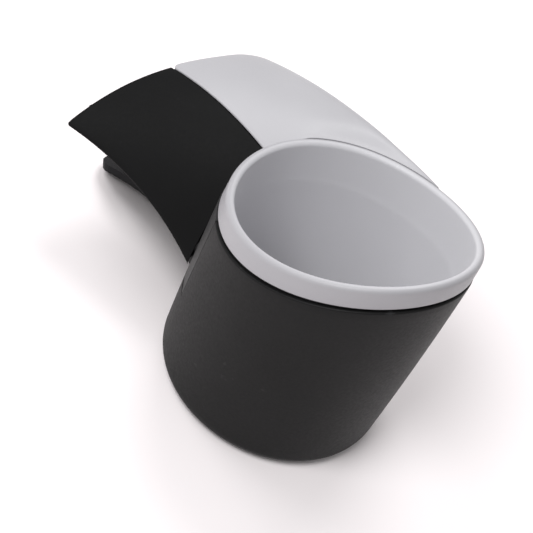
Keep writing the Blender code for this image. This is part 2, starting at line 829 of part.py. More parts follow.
def build_jaw():
    stations = spread(0.0, 0.75, 9) + [0.8, 0.85, 0.9, 0.94, 0.97, 0.99, 1.0]
    shares = spread(-1.0, 1.0, 6)
    jaw = grid_solid("lower_jaw", jaw_surface(0.0), jaw_surface(-JAW_T), shares, stations, CHARCOAL)
    tools = []
    for side in (-1, 1):
        y0, y1 = sorted((side * KNUCKLE_Y[0], side * KNUCKLE_Y[1]))
        tools.append((prism_y("knuckle", knuckle_outline(), y0, y1), "UNION"))
    tools.append((hole_tool(HINGE - Vector((0.0, 30.0 * MM, 0.0)), Vector((0.0, 1.0, 0.0)), 60.0 * MM,
                            BUSH_R + BUSH_FIT), "DIFFERENCE"))
    apply_tools(jaw, tools)
    return jaw


def knuckle_outline():
    """Round knuckle that runs on as a tapering rib under the jaw."""
    outline = []
    for k in range(10):
        angle = math.radians(75.0 - 20.0 * k)
        outline.append((HINGE.x + KNUCKLE_R * math.cos(angle), HINGE.z + KNUCKLE_R * math.sin(angle)))
    for s, depth in ((0.30, 8.5), (0.50, 7.0), (0.72, 2.6)):
        point, normal = jaw_curve(s)
        point = point - normal * depth * MM
        outline.append((point.x, point.z))
    for s in (0.72, 0.50, 0.30, 0.10, 0.03):
        point, normal = jaw_curve(s)
        point = point - normal * 0.5 * JAW_T
        outline.append((point.x, point.z))
    return outline


def build_jaw_pad():
    stations = spread(0.10, 0.60, 8)
    across = spread(-1.0, 1.0, 4)
    return grid_solid("lower_jaw_pad", jaw_surface(GAP + JAW_PAD_T, 5.0 * MM), jaw_surface(GAP, 5.0 * MM),
                      across, stations, RUBBER)


def ring_y(name, y0, y1, inner, outer, look, segments=16):
    """Plain ring on the hinge axis."""
    length = abs(y1 - y0)
    profile = [fixed(inner, 0.0), fixed(outer, 0.0), fixed(outer, length), fixed(inner, length)]
    ring = lathe(name, profile, look, segments=segments, closed=True)
    turned(ring, Vector((HINGE.x, min(y0, y1), HINGE.z)), Vector((0.0, 1.0, 0.0)))
    return settle(ring)


def build_pin():
    chamfer = 0.4 * MM
    length = 2.0 * PIN_HALF
    profile = [fixed(0.0, 0.0), fixed(PIN_R - chamfer, 0.0), fixed(PIN_R, chamfer),
               fixed(PIN_R, length - chamfer), fixed(PIN_R - chamfer, length), fixed(0.0, length)]
    pin = lathe("hinge_pin", profile, STEEL, segments=16)
    turned(pin, HINGE - Vector((0.0, PIN_HALF, 0.0)), Vector((0.0, 1.0, 0.0)))
    return settle(pin)


def build_spring(name, side):
    """Torsion spring: one leg lies on the saddle plate, the other lifts the jaw from below."""
    steps = 12
    y0 = 0.9 * MM
    pitch = 1.25 * MM
    points = []
    count = round(SPRING_TURNS * steps)
    rest_leg = [(-46.3 * MM, 29.0 * MM), (-46.3 * MM, 23.0 * MM)]
    for x, z in rest_leg:
        points.append(Vector((x, side * y0, z)))
    for k in range(count + 1):
        turn = SPRING_TURNS * k / count
        angle = 2.0 * math.pi * (0.06 - turn)
        y = side * (y0 + pitch * turn)
        x = HINGE.x + SPRING_R * math.cos(angle)
        points.append(Vector((x, y, HINGE.z + SPRING_R * math.sin(angle))))
    end_y = points[-1].y
    for s in (0.30, 0.38):
        point, normal = jaw_curve(s)
        point = point - normal * (JAW_T + GAP + WIRE_R)
        points.append(Vector((point.x, end_y, point.z)))
    return tube_path(name, points, WIRE_R, 6, SPRING_STEEL)


def screw(name, origin, direction, length, head_h):
    """Pan-head screw whose head sits at the origin and whose shank runs along direction."""
    def recess(radius, z):
        return lambda angle: (radius * (1.0 + 0.12 * math.cos(6.0 * angle)), z)

    profile = [fixed(0.0, -0.4 * head_h), recess(1.1 * MM, -0.4 * head_h), recess(1.1 * MM, -head_h),
               fixed(0.75 * HEAD_R, -head_h), fixed(HEAD_R, -0.5 * head_h), fixed(HEAD_R, 0.0),
               fixed(SCREW_R, 0.0), fixed(SCREW_R, length), fixed(0.0, length)]
    body = lathe(name, profile, STEEL, segments=12)
    turned(body, origin, direction)
    return settle(body)


def build_screws():
    number = 0
    for direction, z in saddle_screw_axes():
        number += 1
        origin = direction * (shell_r(z) - SHELL_WALL - GAP) + Vector((0.0, 0.0, z))
        screw(f"saddle_screw_{number}", origin, direction, 8.5 * MM, 1.5 * MM)
    number = 0
    for x, y in TRAY_SCREWS:
        number += 1
        screw(f"tray_screw_{number}", Vector((x, y, TRAY_Z0 - GAP)), UP, 6.0 * MM, 1.4 * MM)


def main():
    shell = build_shell()
    angles, rows, keep = plate_cells(GAP)
    pocket = grid_solid("pocket", plate_surface(-2.0 * MM, GAP, 4.0 * MM),
                        plate_surface(PLATE_T + GAP, GAP, 4.0 * MM), angles, rows, None, keep)
    tools = [(pocket, "DIFFERENCE")]
    for direction, z in saddle_screw_axes():
        hole_start = direction * 38.0 * MM + Vector((0.0, 0.0, z))
        tools.append((hole_tool(hole_start, direction, 12.0 * MM), "DIFFERENCE"))
    apply_tools(shell, tools)
    build_liner()
    build_gasket()
    build_mat()
    build_foot()
    build_plate()
    build_hood()
    build_panel()
    build_tray()
    build_upper_pad("upper_pad_near", -25.0 * MM, -10.0 * MM)
    build_upper_pad("upper_pad_far", 7.0 * MM, 20.5 * MM)
    build_jaw()
    build_jaw_pad()
    build_pin()
    sleeve_r = 3.1 * MM
    ring_y("spring_sleeve", -5.8 * MM, 5.8 * MM, PIN_R + RUN, sleeve_r, NYLON)
    for name, side in (("near", -1), ("far", 1)):
        ring_y(f"hinge_bush_{name}", side * 6.2 * MM, side * 11.8 * MM, PIN_R + RUN, BUSH_R, NYLON)
        ring_y(f"push_nut_{name}", side * 17.0 * MM, side * 18.1 * MM, PIN_R + RUN, 4.2 * MM, STEEL)
        build_spring(f"torsion_spring_{name}", side)
    build_screws()


main()
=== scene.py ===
"""Looks of the desk clamp cup holder: fine moulded surfaces, materials, soft studio light and camera."""
import json
import math

import bmesh
import bpy
from mathutils import Matrix, Vector


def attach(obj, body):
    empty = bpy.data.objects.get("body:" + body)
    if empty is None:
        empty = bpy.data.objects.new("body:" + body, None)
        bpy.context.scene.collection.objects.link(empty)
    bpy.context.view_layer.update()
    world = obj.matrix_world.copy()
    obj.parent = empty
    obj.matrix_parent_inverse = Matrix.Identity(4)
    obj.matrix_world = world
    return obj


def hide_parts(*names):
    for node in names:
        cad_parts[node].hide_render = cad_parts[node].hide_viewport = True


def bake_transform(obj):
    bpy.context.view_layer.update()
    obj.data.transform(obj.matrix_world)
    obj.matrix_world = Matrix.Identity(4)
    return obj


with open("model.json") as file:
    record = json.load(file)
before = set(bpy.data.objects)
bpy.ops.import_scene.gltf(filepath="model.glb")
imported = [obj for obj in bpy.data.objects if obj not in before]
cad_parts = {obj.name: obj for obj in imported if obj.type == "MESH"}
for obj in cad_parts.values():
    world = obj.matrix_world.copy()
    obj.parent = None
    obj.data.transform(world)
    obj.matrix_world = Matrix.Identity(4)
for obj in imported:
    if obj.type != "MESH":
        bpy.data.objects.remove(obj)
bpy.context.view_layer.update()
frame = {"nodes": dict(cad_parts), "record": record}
NODES = frame["nodes"]

MM = 0.001
R = 45.0 * MM                # outer radius of the rim, as in the CAD

# Cup
RIM_Z = 2.041 * R
RIM_TILT = 0.292 * R
RIM_SADDLE = 0.064 * R
RIM_INNER_R = 0.926 * R
BAND_H = 0.209 * R
BAND_R = 1.003 * R
BEAD_DEPTH = 1.9 * MM        # the rolled bead on the rim is this deep
BAND_TOP_DEPTH = 3.2 * MM    # the band is as wide as the rim down to here
BAND_ROUND = 0.5 * MM
GASKET_GAP = 1.5 * MM
GASKET_INNER_R = 42.9 * MM
GASKET_OUTER_R = 44.2 * MM
GASKET_CREST_R = 44.4 * MM
SHELL_WALL = 2.8 * MM
SHELL_BOTTOM_Z = 0.4 * MM
SHELL_FLOOR_Z = 3.3 * MM
SHELL_FILLET = 5.4 * MM
SHELL_TOP_ROUND = 0.7 * MM
SHELL_LIP = 0.3 * MM         # small chamfer inside the shell's top edge
LEVEL_Z = 45.0 * MM          # the shell's rows are level up to here and follow the rim above
FOOT_R = 36.2 * MM
FOOT_RECESS_Z = 1.5 * MM
LINER_WALL = 1.2 * MM
FLARE_DEPTH = 17.5 * MM
FLARE_R = 39.6 * MM
WELL_FLOOR_R = 33.5 * MM
WELL_FLOOR_Z = 8.3 * MM
WELL_ROUND = 3.0 * MM
LINER_FLOOR_T = 1.8 * MM
GAP = 0.3 * MM

# Arm
SKIN = 2.8 * MM
ARM_R0 = 45.62 * MM          # radius of the arm's end against the cup
ARM_START_X = -0.22 * R      # the far flank begins here, beside the cup
# Lines along the arm, as coefficients of rising powers of u = -x / R - 1, in rim radii.
# Heights are measured from the middle of the rim.
CREST_Y = (0.590, -0.429)
CREST_Z = (-0.199, -0.167, -0.123)
NEAR_Y = (-0.804, -0.313, -0.153)
NEAR_Z = (-1.178, 0.358, -0.165)
FAR_Y = (0.925, -0.185, 0.007, -0.074)
FAR_Y_MAX = 1.045 * R
FAR_Z = (-1.178, 0.160)
SEAM_Y = (-0.130, -0.205)
NEAR_POWER = 2.35            # the near side slopes away from the crest
FAR_POWER = 4.33             # the far side is flat on top and rolls over into a flank
ROLL_SHARE = 0.78            # share of the far width that the flat top takes
TIP_X = -2.233 * R
TIP_BOW = 0.076              # the tip bows out by this much per rim radius squared
TIP_MIDDLE_Y = 0.153 * R
TIP_CORNER_NEAR = 1.5 * MM
TIP_CORNER_FAR = 16.0 * MM
RIM_REST = 1.05 * MM         # the arm meets the rim this far below its top
RIM_FADE = 0.13 * R
PANEL_R0 = 45.02 * MM        # the panel runs up to the bead
PANEL_RECESS = 1.1 * MM
PANEL_BED = 0.5 * MM         # clearance under the panel
PANEL_PROUD = 0.6 * MM
PANEL_LAST = 0.86            # the panel stops part of the way down the far flank
PANEL_CORNER = 3.0 * MM
END_WALL = 3.0 * MM
END_WALL_DEG = (-39.0, 56.0)
END_WALL_Z0 = 36.0 * MM
EDGE_ROUND = 1.1 * MM
PANEL_ROUND = 0.6 * MM
START_ROUND = 0.25 * MM      # edge rounding beside the cup
# The groove beside the panel: distance from the panel and drop, in mm.
GROOVE_LIP = ((0.60, 0.0), (0.42, -0.03), (0.32, -0.12), (0.28, -0.35))
PANEL_BORDER_ROWS = (0.9, 1.4, 2.1, 3.0)     # distance of the rows nearest the panel's border, in mm

# Posts and screws
POST_BURY = 0.6              # posts and end wall reach this far into the skin, as a share of it
POST_R = 3.4 * MM
POST_HOLE_R = 1.75 * MM
BOSS_START_R = 47.55 * MM
BOSS_LENGTH = 6.4 * MM
TRAY_Z0 = 42.6 * MM
TRAY_T = 2.0 * MM
TRAY_SCREWS = (
    (-64.0 * MM, -29.0 * MM),
    (-90.0 * MM, -36.0 * MM),
    (-64.0 * MM, 27.0 * MM),
    (-90.5 * MM, -1.0 * MM),
)
SADDLE_SCREW_DEG = 22.0
SADDLE_SCREW_Z = (38.0 * MM, 50.0 * MM)

# Torsion springs
HINGE = Vector((-50.5 * MM, 0.0, 17.0 * MM))
SPRING_R = 4.1 * MM
SPRING_TURNS = 3.37
SPRING_PITCH = 1.25 * MM
SPRING_START_Y = 0.9 * MM
SPRING_END_Y = SPRING_START_Y + SPRING_PITCH * SPRING_TURNS
WIRE_R = 0.5 * MM
CUP_LEG = ((-46.3 * MM, 29.0 * MM), (-46.3 * MM, 24.5 * MM), (-46.3 * MM, 21.5 * MM))
JAW_LEG = ((-69.2 * MM, 18.1 * MM), (-73.5 * MM, 17.1 * MM))

# Saddle plate, let into the shell
PLATE_T = 1.2 * MM
PLATE_HALF_DEG = 62.0
TAB_HALF_DEG = 30.0
PLATE_Z0 = 31.0 * MM
TAB_Z0 = 9.0 * MM

SEGMENTS = 256
POST_SEGMENTS = 32
SHARP_DEG = 30.0

# Camera, in rim radii from the middle of the rim
CAMERA_PLACE = Vector((6.9932, -8.6498, 10.4169))
CAMERA_RIGHT = Vector((0.4413, 0.8346, 0.3297))
CAMERA_BACK = Vector((0.4600, -0.5259, 0.7155))
CAMERA_LENS = 134.3

# Light
WORLD_STRENGTH = 0.43
LIGHT_SIZE = 0.5
LIGHT_TARGET = (0.0, 0.0, 0.05)
LIGHTS = (
    ("key", (0.058, -0.553, 0.89), 6.4),
    ("rim", (-0.366, 0.33, 0.927), 3.9),
    ("fill", (-0.642, -0.286, 0.78), 2.1),
)


# ---------------------------------------------------------------- mesh helpers

def make_object(name, bm, material, body, replaced):
    """Turn the mesh into a smooth-shaded piece that rides on a body and stands for a CAD node."""
    bmesh.ops.recalc_face_normals(bm, faces=bm.faces)
    for face in bm.faces:
        face.smooth = True
    for edge in bm.edges:
        if len(edge.link_faces) == 2 and edge.calc_face_angle(0.0) > math.radians(SHARP_DEG):
            edge.smooth = False
    mesh = bpy.data.meshes.new(name)
    bm.to_mesh(mesh)
    bm.free()
    obj = bpy.data.objects.new(name, mesh)
    bpy.context.scene.collection.objects.link(obj)
    mesh.materials.append(material)
    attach(obj, body)
    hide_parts(replaced)
    return obj


def revolve(profile, segments=SEGMENTS, closed=False):
    """Turned mesh. Each profile entry gives (radius, height) at an azimuth."""
    bm = bmesh.new()
    rings = []
    for entry in profile:
        if entry(0.0)[0] < 1e-9:
            rings.append([bm.verts.new((0.0, 0.0, entry(0.0)[1]))])
            continue
        ring = []
        for k in range(segments):
            angle = 2.0 * math.pi * k / segments
            radius, z = entry(angle)
            ring.append(bm.verts.new((radius * math.cos(angle), radius * math.sin(angle), z)))
        rings.append(ring)
    pairs = list(zip(rings, rings[1:]))
    if closed:
        pairs.append((rings[-1], rings[0]))
    for low, high in pairs:
        for k in range(segments):
            nxt = (k + 1) % segments
            corners = [low[k % len(low)], low[nxt % len(low)], high[nxt % len(high)], high[k % len(high)]]
            bm.faces.new([v for i, v in enumerate(corners) if v not in corners[:i]])
    return bm


def sheet(outer, inner, us, vs):
    """Closed sheet between two surfaces over a grid."""
    bm = bmesh.new()
    verts = {}

    def vert(side, i, j):
        key = (side, i, j)
        if key not in verts:
            verts[key] = bm.verts.new((outer if side else inner)(us[i], vs[j]))
        return verts[key]

    cells = {(i, j) for i in range(len(us) - 1) for j in range(len(vs) - 1)}
    for i, j in sorted(cells):
        corners = [(i, j), (i + 1, j), (i + 1, j + 1), (i, j + 1)]
        bm.faces.new([vert(1, *c) for c in corners])
        bm.faces.new([vert(0, *c) for c in reversed(corners)])
        for k, neighbour in enumerate([(i, j - 1), (i + 1, j), (i, j + 1), (i - 1, j)]):
            if neighbour not in cells:
                a, b = corners[k], corners[(k + 1) % 4]
                bm.faces.new([vert(1, *b), vert(1, *a), vert(0, *a), vert(0, *b)])
    return bm


def spread(low, high, count):
    """Evenly spaced values, both ends included."""
    return [low + (high - low) * k / count for k in range(count + 1)]


def fixed(radius, z):
    return lambda angle: (radius, z)


def corner_cut(distance, radius):
    """How far a quarter-round edge drops at this distance from the side."""
    if distance >= radius:
        return 0.0
    return radius - math.sqrt(max(0.0, radius * radius - (radius - distance) ** 2))


def quarter(radius, steps=5):
    """Distances from an edge that sample a quarter-round evenly."""
    return [radius * (1.0 - math.cos(0.5 * math.pi * k / steps)) for k in range(steps + 1)]


# ---------------------------------------------------------------- materials

def shader_material(name, roughness, metallic=0.0, specular=0.5):
    material = bpy.data.materials.new(name)
    material.use_nodes = True
    shader = material.node_tree.nodes["Principled BSDF"]
    shader.inputs["Roughness"].default_value = roughness
    shader.inputs["Metallic"].default_value = metallic
    shader.inputs["Specular IOR Level"].default_value = specular
    return material, shader


def add_noise(tree, scale, detail, roughness=0.5, stretch=(1.0, 1.0, 1.0)):
    """Noise in object space; scale is in cycles per metre."""
    coords = tree.nodes.new("ShaderNodeTexCoord")
    mapping = tree.nodes.new("ShaderNodeMapping")
    mapping.inputs["Scale"].default_value = stretch
    noise = tree.nodes.new("ShaderNodeTexNoise")
    noise.inputs["Scale"].default_value = scale
    noise.inputs["Detail"].default_value = detail
    noise.inputs["Roughness"].default_value = roughness
    tree.links.new(coords.outputs["Object"], mapping.inputs["Vector"])
    tree.links.new(mapping.outputs["Vector"], noise.inputs["Vector"])
    return noise.outputs["Fac"]


def ramp(tree, factor, stops):
    """Colour ramp with (place, colour) stops."""
    node = tree.nodes.new("ShaderNodeValToRGB")
    while len(node.color_ramp.elements) < len(stops):
        node.color_ramp.elements.new(0.5)
    for element, (place, colour) in zip(node.color_ramp.elements, stops):
        element.position = place
        element.color = (*colour, 1.0)
    tree.links.new(factor, node.inputs["Fac"])
    return node.outputs["Color"]


def span(tree, factor, low, high, from_low=0.3, from_high=0.7):
    """Map the factor's range onto low to high."""
    node = tree.nodes.new("ShaderNodeMapRange")
    node.inputs["From Min"].default_value = from_low
    node.inputs["From Max"].default_value = from_high
    node.inputs["To Min"].default_value = low
    node.inputs["To Max"].default_value = high
    tree.links.new(factor, node.inputs["Value"])
    return node.outputs["Result"]


def mix_colour(tree, factor, first, second):
    """Mix from the first colour to the second; each is a colour or a socket."""
    node = tree.nodes.new("ShaderNodeMix")
    node.data_type = "RGBA"
    tree.links.new(factor, node.inputs["Factor"])
    for socket, value in ((node.inputs[6], first), (node.inputs[7], second)):
        if isinstance(value, tuple):
            socket.default_value = (*value, 1.0)
        else:
            tree.links.new(value, socket)
    return node.outputs[2]


def add_bump(tree, shader, layers):
    """Stack of (height, distance, strength) bumps."""
    previous = None
    for height, distance, strength in layers:
        bump = tree.nodes.new("ShaderNodeBump")
        bump.inputs["Distance"].default_value = distance
        bump.inputs["Strength"].default_value = strength
        tree.links.new(height, bump.inputs["Height"])
        if previous is not None:
            tree.links.new(previous, bump.inputs["Normal"])
        previous = bump.outputs["Normal"]
    tree.links.new(previous, shader.inputs["Normal"])


def edge_wear(tree):
    """0 on flat stretches, 1 on worn convex edges."""
    geometry = tree.nodes.new("ShaderNodeNewGeometry")
    return span(tree, geometry.outputs["Pointiness"], 0.0, 1.0, 0.54, 0.62)


def moulded_plastic(name, base, variation, worn, roughness, specular, specks=0.0):
    """Spark-eroded moulded plastic: fine grain, slow colour drift, slightly polished edges, faint dust."""
    material, shader = shader_material(name, roughness, specular=specular)
    tree = material.node_tree
    drift = add_noise(tree, 28.0, 3.0)
    colour = ramp(tree, drift, ((0.3, base), (0.7, variation)))
    colour = mix_colour(tree, edge_wear(tree), colour, worn)
    fine = add_noise(tree, 3200.0, 2.0, 0.6)
    coarse = add_noise(tree, 900.0, 3.0, 0.6)
    if specks > 0.0:
        dust = add_noise(tree, 420.0, 1.0)
        patch = add_noise(tree, 55.0, 1.0)
        product = tree.nodes.new("ShaderNodeMath")
        product.operation = "MULTIPLY"
        tree.links.new(span(tree, dust, 0.0, 1.0, 0.70, 0.76), product.inputs[0])
        tree.links.new(span(tree, patch, 0.0, specks, 0.52, 0.66), product.inputs[1])
        colour = mix_colour(tree, product.outputs[0], colour, worn)
    tree.links.new(colour, shader.inputs["Base Color"])
    tree.links.new(span(tree, coarse, roughness - 0.05, roughness + 0.06), shader.inputs["Roughness"])
    add_bump(tree, shader, ((coarse, 0.00006, 0.35), (fine, 0.00003, 0.5)))
    return material


def paint_light_inside(material, inner):
    """The inside of the cup is painted paler than the textured band around it: painted light, standing for
    the light that falls into the cup.
    """
    tree = material.node_tree
    shader = tree.nodes["Principled BSDF"]
    outer = shader.inputs["Base Color"].links[0].from_socket
    place = tree.nodes.new("ShaderNodeTexCoord")
    flat = tree.nodes.new("ShaderNodeVectorMath")
    flat.operation = "MULTIPLY"
    flat.inputs[1].default_value = (1.0, 1.0, 0.0)
    tree.links.new(place.outputs["Object"], flat.inputs[0])
    length = tree.nodes.new("ShaderNodeVectorMath")
    length.operation = "LENGTH"
    tree.links.new(flat.outputs["Vector"], length.inputs[0])
    # Mask for the painted light: 1 inside the rim, fading to 0 on the band.
    inside = span(tree, length.outputs["Value"], 1.0, 0.0, 0.93 * R, 0.975 * R)
    tree.links.new(mix_colour(tree, inside, outer, inner), shader.inputs["Base Color"])


def rubber(name):
    """Matt black rubber with a fine bloom."""
    material, shader = shader_material(name, 0.85, specular=0.3)
    tree = material.node_tree
    drift = add_noise(tree, 60.0, 4.0)
    colour = ramp(tree, drift, ((0.3, (0.006, 0.006, 0.0065)), (0.7, (0.013, 0.013, 0.014))))
    tree.links.new(colour, shader.inputs["Base Color"])
    tree.links.new(span(tree, drift, 0.78, 0.92), shader.inputs["Roughness"])
    add_bump(tree, shader, ((add_noise(tree, 1500.0, 3.0), 0.0001, 0.5),))
    return material


def metal(name, base, variation, roughness, stretch):
    """Drawn or turned steel with fine lines along one direction."""
    material, shader = shader_material(name, roughness, metallic=1.0)
    tree = material.node_tree
    lines = add_noise(tree, 900.0, 4.0, 0.6, stretch)
    tree.links.new(ramp(tree, lines, ((0.3, base), (0.7, variation))), shader.inputs["Base Color"])
    tree.links.new(span(tree, lines, roughness - 0.06, roughness + 0.1), shader.inputs["Roughness"])
    add_bump(tree, shader, ((lines, 0.00003, 0.3),))
    return material


CHARCOAL = moulded_plastic("charcoal_plastic", (0.0070, 0.0070, 0.0072), (0.0090, 0.0090, 0.0093),
                           (0.022, 0.022, 0.023), 0.50, 0.15, specks=0.5)
# Painted shade: the arm is the cup's charcoal plastic, given a darker base colour to take away the sheen
# the lamps leave on it.
ARM_CHARCOAL_PAINTED_SHADE = moulded_plastic("arm_charcoal_painted_shade", (0.0060, 0.0060, 0.0062), (0.0078, 0.0078, 0.0081),
                               (0.018, 0.018, 0.019), 0.58, 0.07, specks=0.3)
# Painted highlight: the saddle plate is the same charcoal plastic, given a paler base colour for the
# grazing reflection beside the arm.
PLATE_CHARCOAL_PAINTED_HIGHLIGHT = moulded_plastic("plate_charcoal_painted_highlight", (0.022, 0.022, 0.022), (0.027, 0.027, 0.027),
                                 (0.034, 0.034, 0.035), 0.50, 0.22)
# Painted shade: the lower jaw is the same charcoal plastic, given a darker base colour for the shadow it
# sits in.
JAW_CHARCOAL_PAINTED_SHADE = moulded_plastic("jaw_charcoal_painted_shade", (0.0040, 0.0040, 0.0042), (0.0055, 0.0055, 0.0057),
                               (0.012, 0.012, 0.013), 0.58, 0.06)
GREY = moulded_plastic("grey_plastic", (0.395, 0.390, 0.410), (0.415, 0.410, 0.430),
                       (0.47, 0.47, 0.49), 0.46, 0.45)
GREY_CUP = moulded_plastic("cup_grey_plastic", (0.365, 0.360, 0.380), (0.380, 0.375, 0.395),
                           (0.44, 0.44, 0.46), 0.46, 0.45)
# Painted light: the inside of the cup gets this paler colour for the light that falls into it.
paint_light_inside(GREY_CUP, (0.585, 0.58, 0.605))
RUBBER = rubber("black_rubber")
STEEL = metal("plated_steel", (0.50, 0.50, 0.51), (0.66, 0.66, 0.67), 0.28, (1.0, 0.05, 1.0))
SPRING = metal("spring_wire", (0.25, 0.25, 0.27), (0.38, 0.38, 0.40), 0.34, (0.1, 1.0, 1.0))
BLACK_STEEL = metal("black_oxide", (0.020, 0.020, 0.021), (0.035, 0.035, 0.036), 0.42, (1.0, 0.05, 1.0))
NYLON = moulded_plastic("natural_nylon", (0.68, 0.67, 0.62), (0.74, 0.73, 0.68),
                        (0.80, 0.79, 0.75), 0.48, 0.5)


# ---------------------------------------------------------------- cup

def rim_z(angle):
    """Height of the slanted rim at an azimuth."""
    return RIM_Z + RIM_TILT * math.cos(angle) + RIM_SADDLE * math.cos(2.0 * angle)


def shell_top_z(angle):
    return rim_z(angle) - BAND_H - GASKET_GAP


def shell_r(z):
    s = (RIM_Z - RIM_SADDLE - BAND_H - z) / R
    return R * (1.011 - 0.007 * s - 0.011 * s * s)


def below_rim(radius, depth):
    return lambda angle: (radius, rim_z(angle) - depth)


def in_pocket(degrees, z):
    """True where the shell is let in for the saddle plate."""
    grow = math.degrees(GAP / R)
    if z > PLATE_Z0 - GAP:
        return abs(degrees) < PLATE_HALF_DEG + grow
    return z > TAB_Z0 - GAP and abs(degrees) < TAB_HALF_DEG + grow


def build_shell():
    """Outer cup with a rounded base, a rounded top edge and the pocket for the saddle plate."""
    step = 0.12              # degrees across the wall of the pocket
    clear = 0.6              # degrees kept free beside it
    grow = math.degrees(GAP / R)
    wide = PLATE_HALF_DEG + grow
    tab = TAB_HALF_DEG + grow
    around = [(-180.0 + 360.0 * k / SEGMENTS) for k in range(SEGMENTS)]
    edges = (-wide, -tab, tab, wide)
    around = [a for a in around if min(abs(a - e) for e in edges) > clear]
    around = sorted(around + [e + d for e in edges for d in (-step, step)])
    foot = shell_r(SHELL_BOTTOM_Z + SHELL_FILLET)
    bm = bmesh.new()
    rings = []

    def ring(point):
        verts = []
        for degrees in around:
            angle = math.radians(180.0 + degrees)
            radius, z = point(degrees, angle)
            verts.append(bm.verts.new((radius * math.cos(angle), radius * math.sin(angle), z)))
        rings.append(verts)

    def wall_row(share, inset=0.0, drop=0.0):
        """Row of the wall: share runs to 1 at the last level row and to 2 at the top edge."""
        def point(degrees, angle):
            top = shell_top_z(angle) - drop
            z = LEVEL_Z * share if share <= 1.0 else LEVEL_Z + (top - LEVEL_Z) * (share - 1.0)
            depth = PLATE_T + GAP if in_pocket(degrees, z) else inset
            return shell_r(z) - max(depth, inset), z
        return point

    ring(lambda d, a: (FOOT_R + GAP, FOOT_RECESS_Z))
    ring(lambda d, a: (FOOT_R + GAP, SHELL_BOTTOM_Z + 0.2 * MM))
    ring(lambda d, a: (FOOT_R + GAP + 0.2 * MM, SHELL_BOTTOM_Z))
    for k in range(13):
        turn = math.radians(7.5 * k)
        radius = foot - SHELL_FILLET + SHELL_FILLET * math.sin(turn)
        z = SHELL_BOTTOM_Z + SHELL_FILLET * (1.0 - math.cos(turn))
        ring(lambda d, a, radius=radius, z=z: (radius, z))
    sides = (TAB_Z0 - GAP, PLATE_Z0 - GAP)
    rows = [z for z in spread(7.0 * MM, LEVEL_Z, 19) if min(abs(z - e) for e in sides) > 0.5 * MM]
    rows = sorted(rows + [e + d * MM for e in sides for d in (-0.03, 0.03)])
    for z in rows:
        ring(wall_row(z / LEVEL_Z))
    for share in spread(1.08, 2.0, 12):
        ring(wall_row(share, drop=SHELL_TOP_ROUND))
    for k in range(1, 5):
        turn = math.radians(22.5 * k)
        inset = SHELL_TOP_ROUND * (1.0 - math.cos(turn))
        ring(wall_row(2.0, inset, SHELL_TOP_ROUND * (1.0 - math.sin(turn))))
    ring(wall_row(2.0, SHELL_WALL - SHELL_LIP))
    ring(wall_row(2.0, SHELL_WALL, SHELL_LIP))
    for share in (1.6, 1.2, 0.8, 0.4, 0.12):
        ring(wall_row(share, SHELL_WALL, SHELL_LIP))
    ring(lambda d, a: (shell_r(SHELL_FLOOR_Z) - SHELL_WALL - 2.0 * MM, SHELL_FLOOR_Z))
    for low_ring, high_ring in zip(rings, rings[1:]):
        count = len(around)
        for k in range(count):
            nxt = (k + 1) % count
            bm.faces.new([low_ring[k], low_ring[nxt], high_ring[nxt], high_ring[k]])
    for ends in (rings[0], rings[-1]):
        bm.faces.new(ends)
    return make_object("cup_shell_skin", bm, CHARCOAL, "holder", "cup_shell")


def build_liner():
    """Liner, turned from its floor up the outside, over the bead and down the inside."""
    outer_floor_z = WELL_FLOOR_Z - LINER_FLOOR_T
    profile = [fixed(0.0, outer_floor_z), fixed(WELL_FLOOR_R - 1.5 * MM, outer_floor_z)]
    profile.append(fixed(WELL_FLOOR_R + LINER_WALL, outer_floor_z + 3.5 * MM))
    profile.append(below_rim(FLARE_R + LINER_WALL, FLARE_DEPTH + 0.4 * MM))
    profile.append(below_rim(RIM_INNER_R - 0.6 * MM + LINER_WALL, BAND_H))
    for cut in reversed(quarter(BAND_ROUND, 4)):
        profile.append(below_rim(BAND_R - cut, BAND_H - corner_cut(cut, BAND_ROUND)))
    profile.append(below_rim(BAND_R - 0.05 * MM, 0.6 * BAND_H))
    profile.append(below_rim(R, BAND_TOP_DEPTH))
    bead = 0.5 * (R - RIM_INNER_R)
    for turn in spread(6.0, 174.0, 18):
        angle = math.radians(turn)
        profile.append(below_rim(R - bead + bead * math.cos(angle), BEAD_DEPTH * (1.0 - math.sin(angle))))
    for share in (0.2, 0.4, 0.6, 0.8, 0.95):
        radius = RIM_INNER_R + (FLARE_R - RIM_INNER_R) * share
        profile.append(below_rim(radius, BEAD_DEPTH + (FLARE_DEPTH - BEAD_DEPTH) * share))
    profile.append(below_rim(FLARE_R - 0.05 * MM, FLARE_DEPTH))

    def well(share):
        def entry(angle):
            top = rim_z(angle) - FLARE_DEPTH
            floor = WELL_FLOOR_Z + WELL_ROUND
            return FLARE_R + (WELL_FLOOR_R - FLARE_R) * share, top + (floor - top) * share
        return entry

    for share in (0.03, 0.25, 0.5, 0.75, 1.0):
        profile.append(well(share))
    for turn in spread(15.0, 90.0, 5):
        angle = math.radians(turn)
        profile.append(fixed(WELL_FLOOR_R - WELL_ROUND * (1.0 - math.cos(angle)),
                             WELL_FLOOR_Z + WELL_ROUND * (1.0 - math.sin(angle))))
    profile.append(fixed(0.0, WELL_FLOOR_Z))
    return make_object("cup_liner_skin", revolve(profile), GREY_CUP, "holder", "cup_liner")


def build_gasket():
    """Dark ring between the liner's band and the shell's top edge."""
    low, high = BAND_H + GASKET_GAP - GAP, BAND_H + GAP
    profile = [
        below_rim(GASKET_INNER_R, high),
        below_rim(GASKET_OUTER_R, high),
        below_rim(GASKET_CREST_R, 0.5 * (low + high)),
        below_rim(GASKET_OUTER_R, low),
        below_rim(GASKET_INNER_R, low),
    ]
    bm = revolve(profile, closed=True)
    return make_object("gap_gasket_skin", bm, RUBBER, "holder", "gap_gasket")


# ---------------------------------------------------------------- arm

